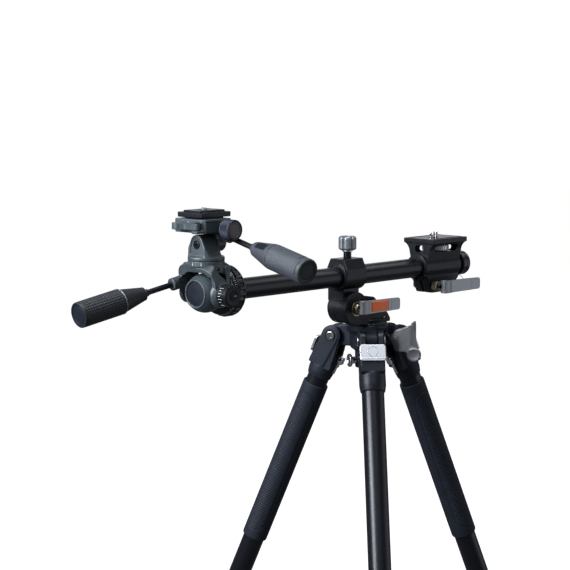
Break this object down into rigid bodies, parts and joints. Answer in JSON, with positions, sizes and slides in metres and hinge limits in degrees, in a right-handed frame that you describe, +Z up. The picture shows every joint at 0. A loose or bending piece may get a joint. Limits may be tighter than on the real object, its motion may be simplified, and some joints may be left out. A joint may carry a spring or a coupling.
{
  "type": "alt azimuth mount",
  "caption": "Tripod-borne mount with a tilting horizontal arm, an accessory plate on a pinch clamp and a pan and tilt head with handles.",
  "frame": {"origin": "on the floor under the middle of the outline, the three feet on z = 0", "axes": "+X along the arm towards the accessory plate, +Z up, +Y completes the right hand"},
  "size_m": [0.7132, 0.4752, 0.713],
  "materials": {
    "casting": "blue-black satin coating on cast alloy",
    "black_anodised": "satin black anodised",
    "head_grey": "dark slate grey-green satin coating",
    "silver": "brushed bright alloy",
    "steel": "bright steel",
    "brass": "dull brass-coloured nut",
    "orange": "satin orange-red",
    "nylon": "matte black",
    "rubber": "matte blue-black rubber"
  },
  "bodies": {
    "spider": {"spider_casting": "casting"},
    "column_lock_knob": {"column_lock_knob": "silver"},
    "spider_lever": {"spider_lever": "silver"},
    "spider_disc_knob": {"spider_disc_knob": "silver"},
    "front_leg": {"front_yoke": "casting", "front_pivot_bolt": "steel", "front_upper_tube": "black_anodised"},
    "front_angle_stop": {"front_angle_stop": "silver"},
    "front_lock_1": {"front_lock_1": "rubber"},
    "front_middle": {"front_middle_tube": "black_anodised"},
    "front_lock_2": {"front_lock_2": "rubber"},
    "front_lower": {"front_lower_tube": "black_anodised", "front_foot": "rubber"},
    "right_leg": {"right_yoke": "casting", "right_pivot_bolt": "steel", "right_upper_tube": "black_anodised", "right_grip": "rubber"},
    "right_angle_stop": {"right_angle_stop": "silver"},
    "right_lock_1": {"right_lock_1": "rubber"},
    "right_middle": {"right_middle_tube": "black_anodised"},
    "right_lock_2": {"right_lock_2": "rubber"},
    "right_lower": {"right_lower_tube": "black_anodised", "right_foot": "rubber"},
    "left_leg": {"left_yoke": "casting", "left_pivot_bolt": "steel", "left_upper_tube": "black_anodised", "left_grip": "rubber"},
    "left_angle_stop": {"left_angle_stop": "silver"},
    "left_lock_1": {"left_lock_1": "rubber"},
    "left_middle": {"left_middle_tube": "black_anodised"},
    "left_lock_2": {"left_lock_2": "rubber"},
    "left_lower": {"left_lower_tube": "black_anodised", "left_foot": "rubber"},
    "base": {"base_foot": "black_anodised", "swing_bolt": "steel"},
    "swing_lever": {"swing_lever": "silver", "lever_insert": "orange"},
    "clamp": {"arm_clamp": "black_anodised"},
    "clamp_knob": {"clamp_knob": "silver"},
    "bush": {"collar_bush": "nylon"},
    "arm": {"arm_tube": "black_anodised", "arm_end_ring": "black_anodised", "head_base_ring": "black_anodised"},
    "bracket": {"bracket": "black_anodised", "bracket_bolt": "brass"},
    "bracket_screw": {"bracket_screw": "silver"},
    "bracket_lever": {"bracket_lever": "silver"},
    "head": {"head_body": "head_grey"},
    "tilt_dial": {"tilt_dial": "black_anodised"},
    "yoke": {"tilt_yoke": "head_grey"},
    "left_handle": {"left_handle_rod": "black_anodised", "left_handle_grip": "rubber"},
    "tower": {"tower": "head_grey"},
    "platform": {"qr_clamp": "head_grey"},
    "right_handle": {"right_handle_rod": "black_anodised", "right_handle_grip": "rubber"},
    "side_knob": {"side_knob": "casting"},
    "plate": {"qr_plate": "black_anodised"},
    "plate_screw": {"plate_screw": "steel"},
    "qr_lever": {"qr_lever": "head_grey"}
  },
  "joints": [
    {"name": "column_lock_turn", "type": "hinge", "parent": "spider", "child": "column_lock_knob", "pos_m": [0.0844, -0.02875, 0.50409], "axis": [-0.866, 0.5, 0], "continuous": true},
    {"name": "spider_lever_swing", "type": "hinge", "parent": "spider", "child": "spider_lever", "pos_m": [0.10165, -0.05863, 0.53409], "axis": [-0.866, -0.5, 0], "range_deg": [0, 60]},
    {"name": "spider_disc_turn", "type": "hinge", "parent": "spider_lever", "child": "spider_disc_knob", "pos_m": [0.1159, -0.08331, 0.51458], "axis": [-0.866, -0.5, 0], "continuous": true},
    {"name": "front_leg_fold", "type": "hinge", "parent": "spider", "child": "front_leg", "pos_m": [0.05467, -0.06119, 0.53409], "axis": [0.7373, -0.6756, 0], "range_deg": [-57, 21]},
    {"name": "front_stop_pull", "type": "slide", "parent": "front_leg", "child": "front_angle_stop", "axis": [-0.6219, -0.6787, 0.3907], "range_m": [0, 0.006]},
    {"name": "front_lock_1_twist", "type": "hinge", "parent": "front_leg", "child": "front_lock_1", "pos_m": [0.05467, -0.06119, 0.53409], "axis": [0.264, 0.2881, 0.9205], "range_deg": [0, 90]},
    {"name": "front_middle_extend", "type": "slide", "parent": "front_leg", "child": "front_middle", "axis": [-0.264, -0.2881, -0.9205], "range_m": [0, 0.33]},
    {"name": "front_lock_2_twist", "type": "hinge", "parent": "front_middle", "child": "front_lock_2", "pos_m": [0.05467, -0.06119, 0.53409], "axis": [0.264, 0.2881, 0.9205], "range_deg": [0, 90]},
    {"name": "front_lower_extend", "type": "slide", "parent": "front_middle", "child": "front_lower", "axis": [-0.264, -0.2881, -0.9205], "range_m": [0, 0.33]},
    {"name": "right_leg_fold", "type": "hinge", "parent": "spider", "child": "right_leg", "pos_m": [0.12736, -0.03827, 0.53409], "axis": [0.2164, 0.9763, 0], "range_deg": [-57, 21]},
    {"name": "right_stop_pull", "type": "slide", "parent": "right_leg", "child": "right_angle_stop", "axis": [0.8987, -0.1992, 0.3907], "range_m": [0, 0.006]},
    {"name": "right_lock_1_twist", "type": "hinge", "parent": "right_leg", "child": "right_lock_1", "pos_m": [0.12736, -0.03827, 0.53409], "axis": [-0.3815, 0.0846, 0.9205], "range_deg": [0, 90]},
    {"name": "right_middle_extend", "type": "slide", "parent": "right_leg", "child": "right_middle", "axis": [0.3815, -0.0846, -0.9205], "range_m": [0, 0.33]},
    {"name": "right_lock_2_twist", "type": "hinge", "parent": "right_middle", "child": "right_lock_2", "pos_m": [0.12736, -0.03827, 0.53409], "axis": [-0.3815, 0.0846, 0.9205], "range_deg": [0, 90]},
    {"name": "right_lower_extend", "type": "slide", "parent": "right_middle", "child": "right_lower", "axis": [0.3815, -0.0846, -0.9205], "range_m": [0, 0.33]},
    {"name": "left_leg_fold", "type": "hinge", "parent": "spider", "child": "left_leg", "pos_m": [0.07117, 0.01321, 0.53409], "axis": [-0.9537, -0.3007, 0], "range_deg": [-57, 21]},
    {"name": "left_stop_pull", "type": "slide", "parent": "left_leg", "child": "left_angle_stop", "axis": [-0.2768, 0.8779, 0.3907], "range_m": [0, 0.006]},
    {"name": "left_lock_1_twist", "type": "hinge", "parent": "left_leg", "child": "left_lock_1", "pos_m": [0.07117, 0.01321, 0.53409], "axis": [0.1175, -0.3726, 0.9205], "range_deg": [0, 90]},
    {"name": "left_middle_extend", "type": "slide", "parent": "left_leg", "child": "left_middle", "axis": [-0.1175, 0.3726, -0.9205], "range_m": [0, 0.33]},
    {"name": "left_lock_2_twist", "type": "hinge", "parent": "left_middle", "child": "left_lock_2", "pos_m": [0.07117, 0.01321, 0.53409], "axis": [0.1175, -0.3726, 0.9205], "range_deg": [0, 90]},
    {"name": "left_lower_extend", "type": "slide", "parent": "left_middle", "child": "left_lower", "axis": [-0.1175, 0.3726, -0.9205], "range_m": [0, 0.33]},
    {"name": "base_pan", "type": "hinge", "parent": "spider", "child": "base", "pos_m": [0.0844, -0.02875, 0.61408], "axis": [0, 0, 1], "continuous": true},
    {"name": "swing_lever_open", "type": "hinge", "parent": "base", "child": "swing_lever", "pos_m": [0.0424, -0.05925, 0.57708], "axis": [0, 0, -1], "range_deg": [0, 80]},
    {"name": "arm_swing", "type": "hinge", "parent": "base", "child": "clamp", "pos_m": [0.0444, -0.02875, 0.57408], "axis": [0, 1, 0], "range_deg": [-90, 25]},
    {"name": "clamp_knob_turn", "type": "hinge", "parent": "clamp", "child": "clamp_knob", "pos_m": [0.0464, -0.02875, 0.61408], "axis": [0, 0, 1], "continuous": true},
    {"name": "arm_turn", "type": "hinge", "parent": "clamp", "child": "bush", "pos_m": [0.0464, -0.02875, 0.61408], "axis": [1, 0, 0], "continuous": true},
    {"name": "arm_slide", "type": "slide", "parent": "bush", "child": "arm", "axis": [1, 0, 0], "range_m": [-0.07, 0.15]},
    {"name": "bracket_turn", "type": "hinge", "parent": "arm", "child": "bracket", "pos_m": [0.0464, -0.02875, 0.61408], "axis": [1, 0, 0], "continuous": true},
    {"name": "bracket_screw_turn", "type": "hinge", "parent": "bracket", "child": "bracket_screw", "pos_m": [0.2194, -0.02875, 0.61408], "axis": [0, 0, 1], "continuous": true},
    {"name": "bracket_lever_open", "type": "hinge", "parent": "bracket", "child": "bracket_lever", "pos_m": [0.1994, -0.06225, 0.59008], "axis": [0, 0, -1], "range_deg": [0, 80]},
    {"name": "head_pan", "type": "hinge", "parent": "arm", "child": "head", "pos_m": [0.0464, -0.02875, 0.61408], "axis": [1, 0, 0], "continuous": true},
    {"name": "head_tilt", "type": "hinge", "parent": "head", "child": "yoke", "pos_m": [-0.1996, -0.02875, 0.61408], "axis": [0, 1, 0], "range_deg": [-110, 0]},
    {"name": "tilt_dial_turn", "type": "hinge", "parent": "yoke", "child": "tilt_dial", "pos_m": [-0.1996, -0.06025, 0.61408], "axis": [0, -1, 0], "continuous": true},
    {"name": "left_handle_twist", "type": "hinge", "parent": "yoke", "child": "left_handle", "pos_m": [-0.2101, -0.00125, 0.62648], "axis": [-0.9756, 0.1101, -0.1901], "continuous": true},
    {"name": "tower_pan", "type": "hinge", "parent": "yoke", "child": "tower", "pos_m": [-0.1976, -0.02875, 0.61408], "axis": [0, 0, 1], "continuous": true},
    {"name": "side_tilt", "type": "hinge", "parent": "tower", "child": "platform", "pos_m": [-0.1976, -0.02875, 0.67209], "axis": [1, 0, 0], "range_deg": [-50, 10]},
    {"name": "right_handle_twist", "type": "hinge", "parent": "platform", "child": "right_handle", "pos_m": [-0.1821, -0.04275, 0.68129], "axis": [-0.0803, -0.9732, -0.2157], "continuous": true},
    {"name": "side_knob_turn", "type": "hinge", "parent": "platform", "child": "side_knob", "pos_m": [-0.1946, -0.05075, 0.68908], "axis": [0, -1, 0], "continuous": true},
    {"name": "plate_lift", "type": "slide", "parent": "platform", "child": "plate", "axis": [0, 0, 1], "range_m": [0, 0.02]},
    {"name": "plate_screw_turn", "type": "hinge", "parent": "plate", "child": "plate_screw", "pos_m": [-0.1986, -0.02675, 0.61408], "axis": [0, 0, 1], "continuous": true},
    {"name": "qr_lever_open", "type": "hinge", "parent": "platform", "child": "qr_lever", "pos_m": [-0.2271, -0.04425, 0.61408], "axis": [0, 0, 1], "range_deg": [0, 80]}
  ]
}
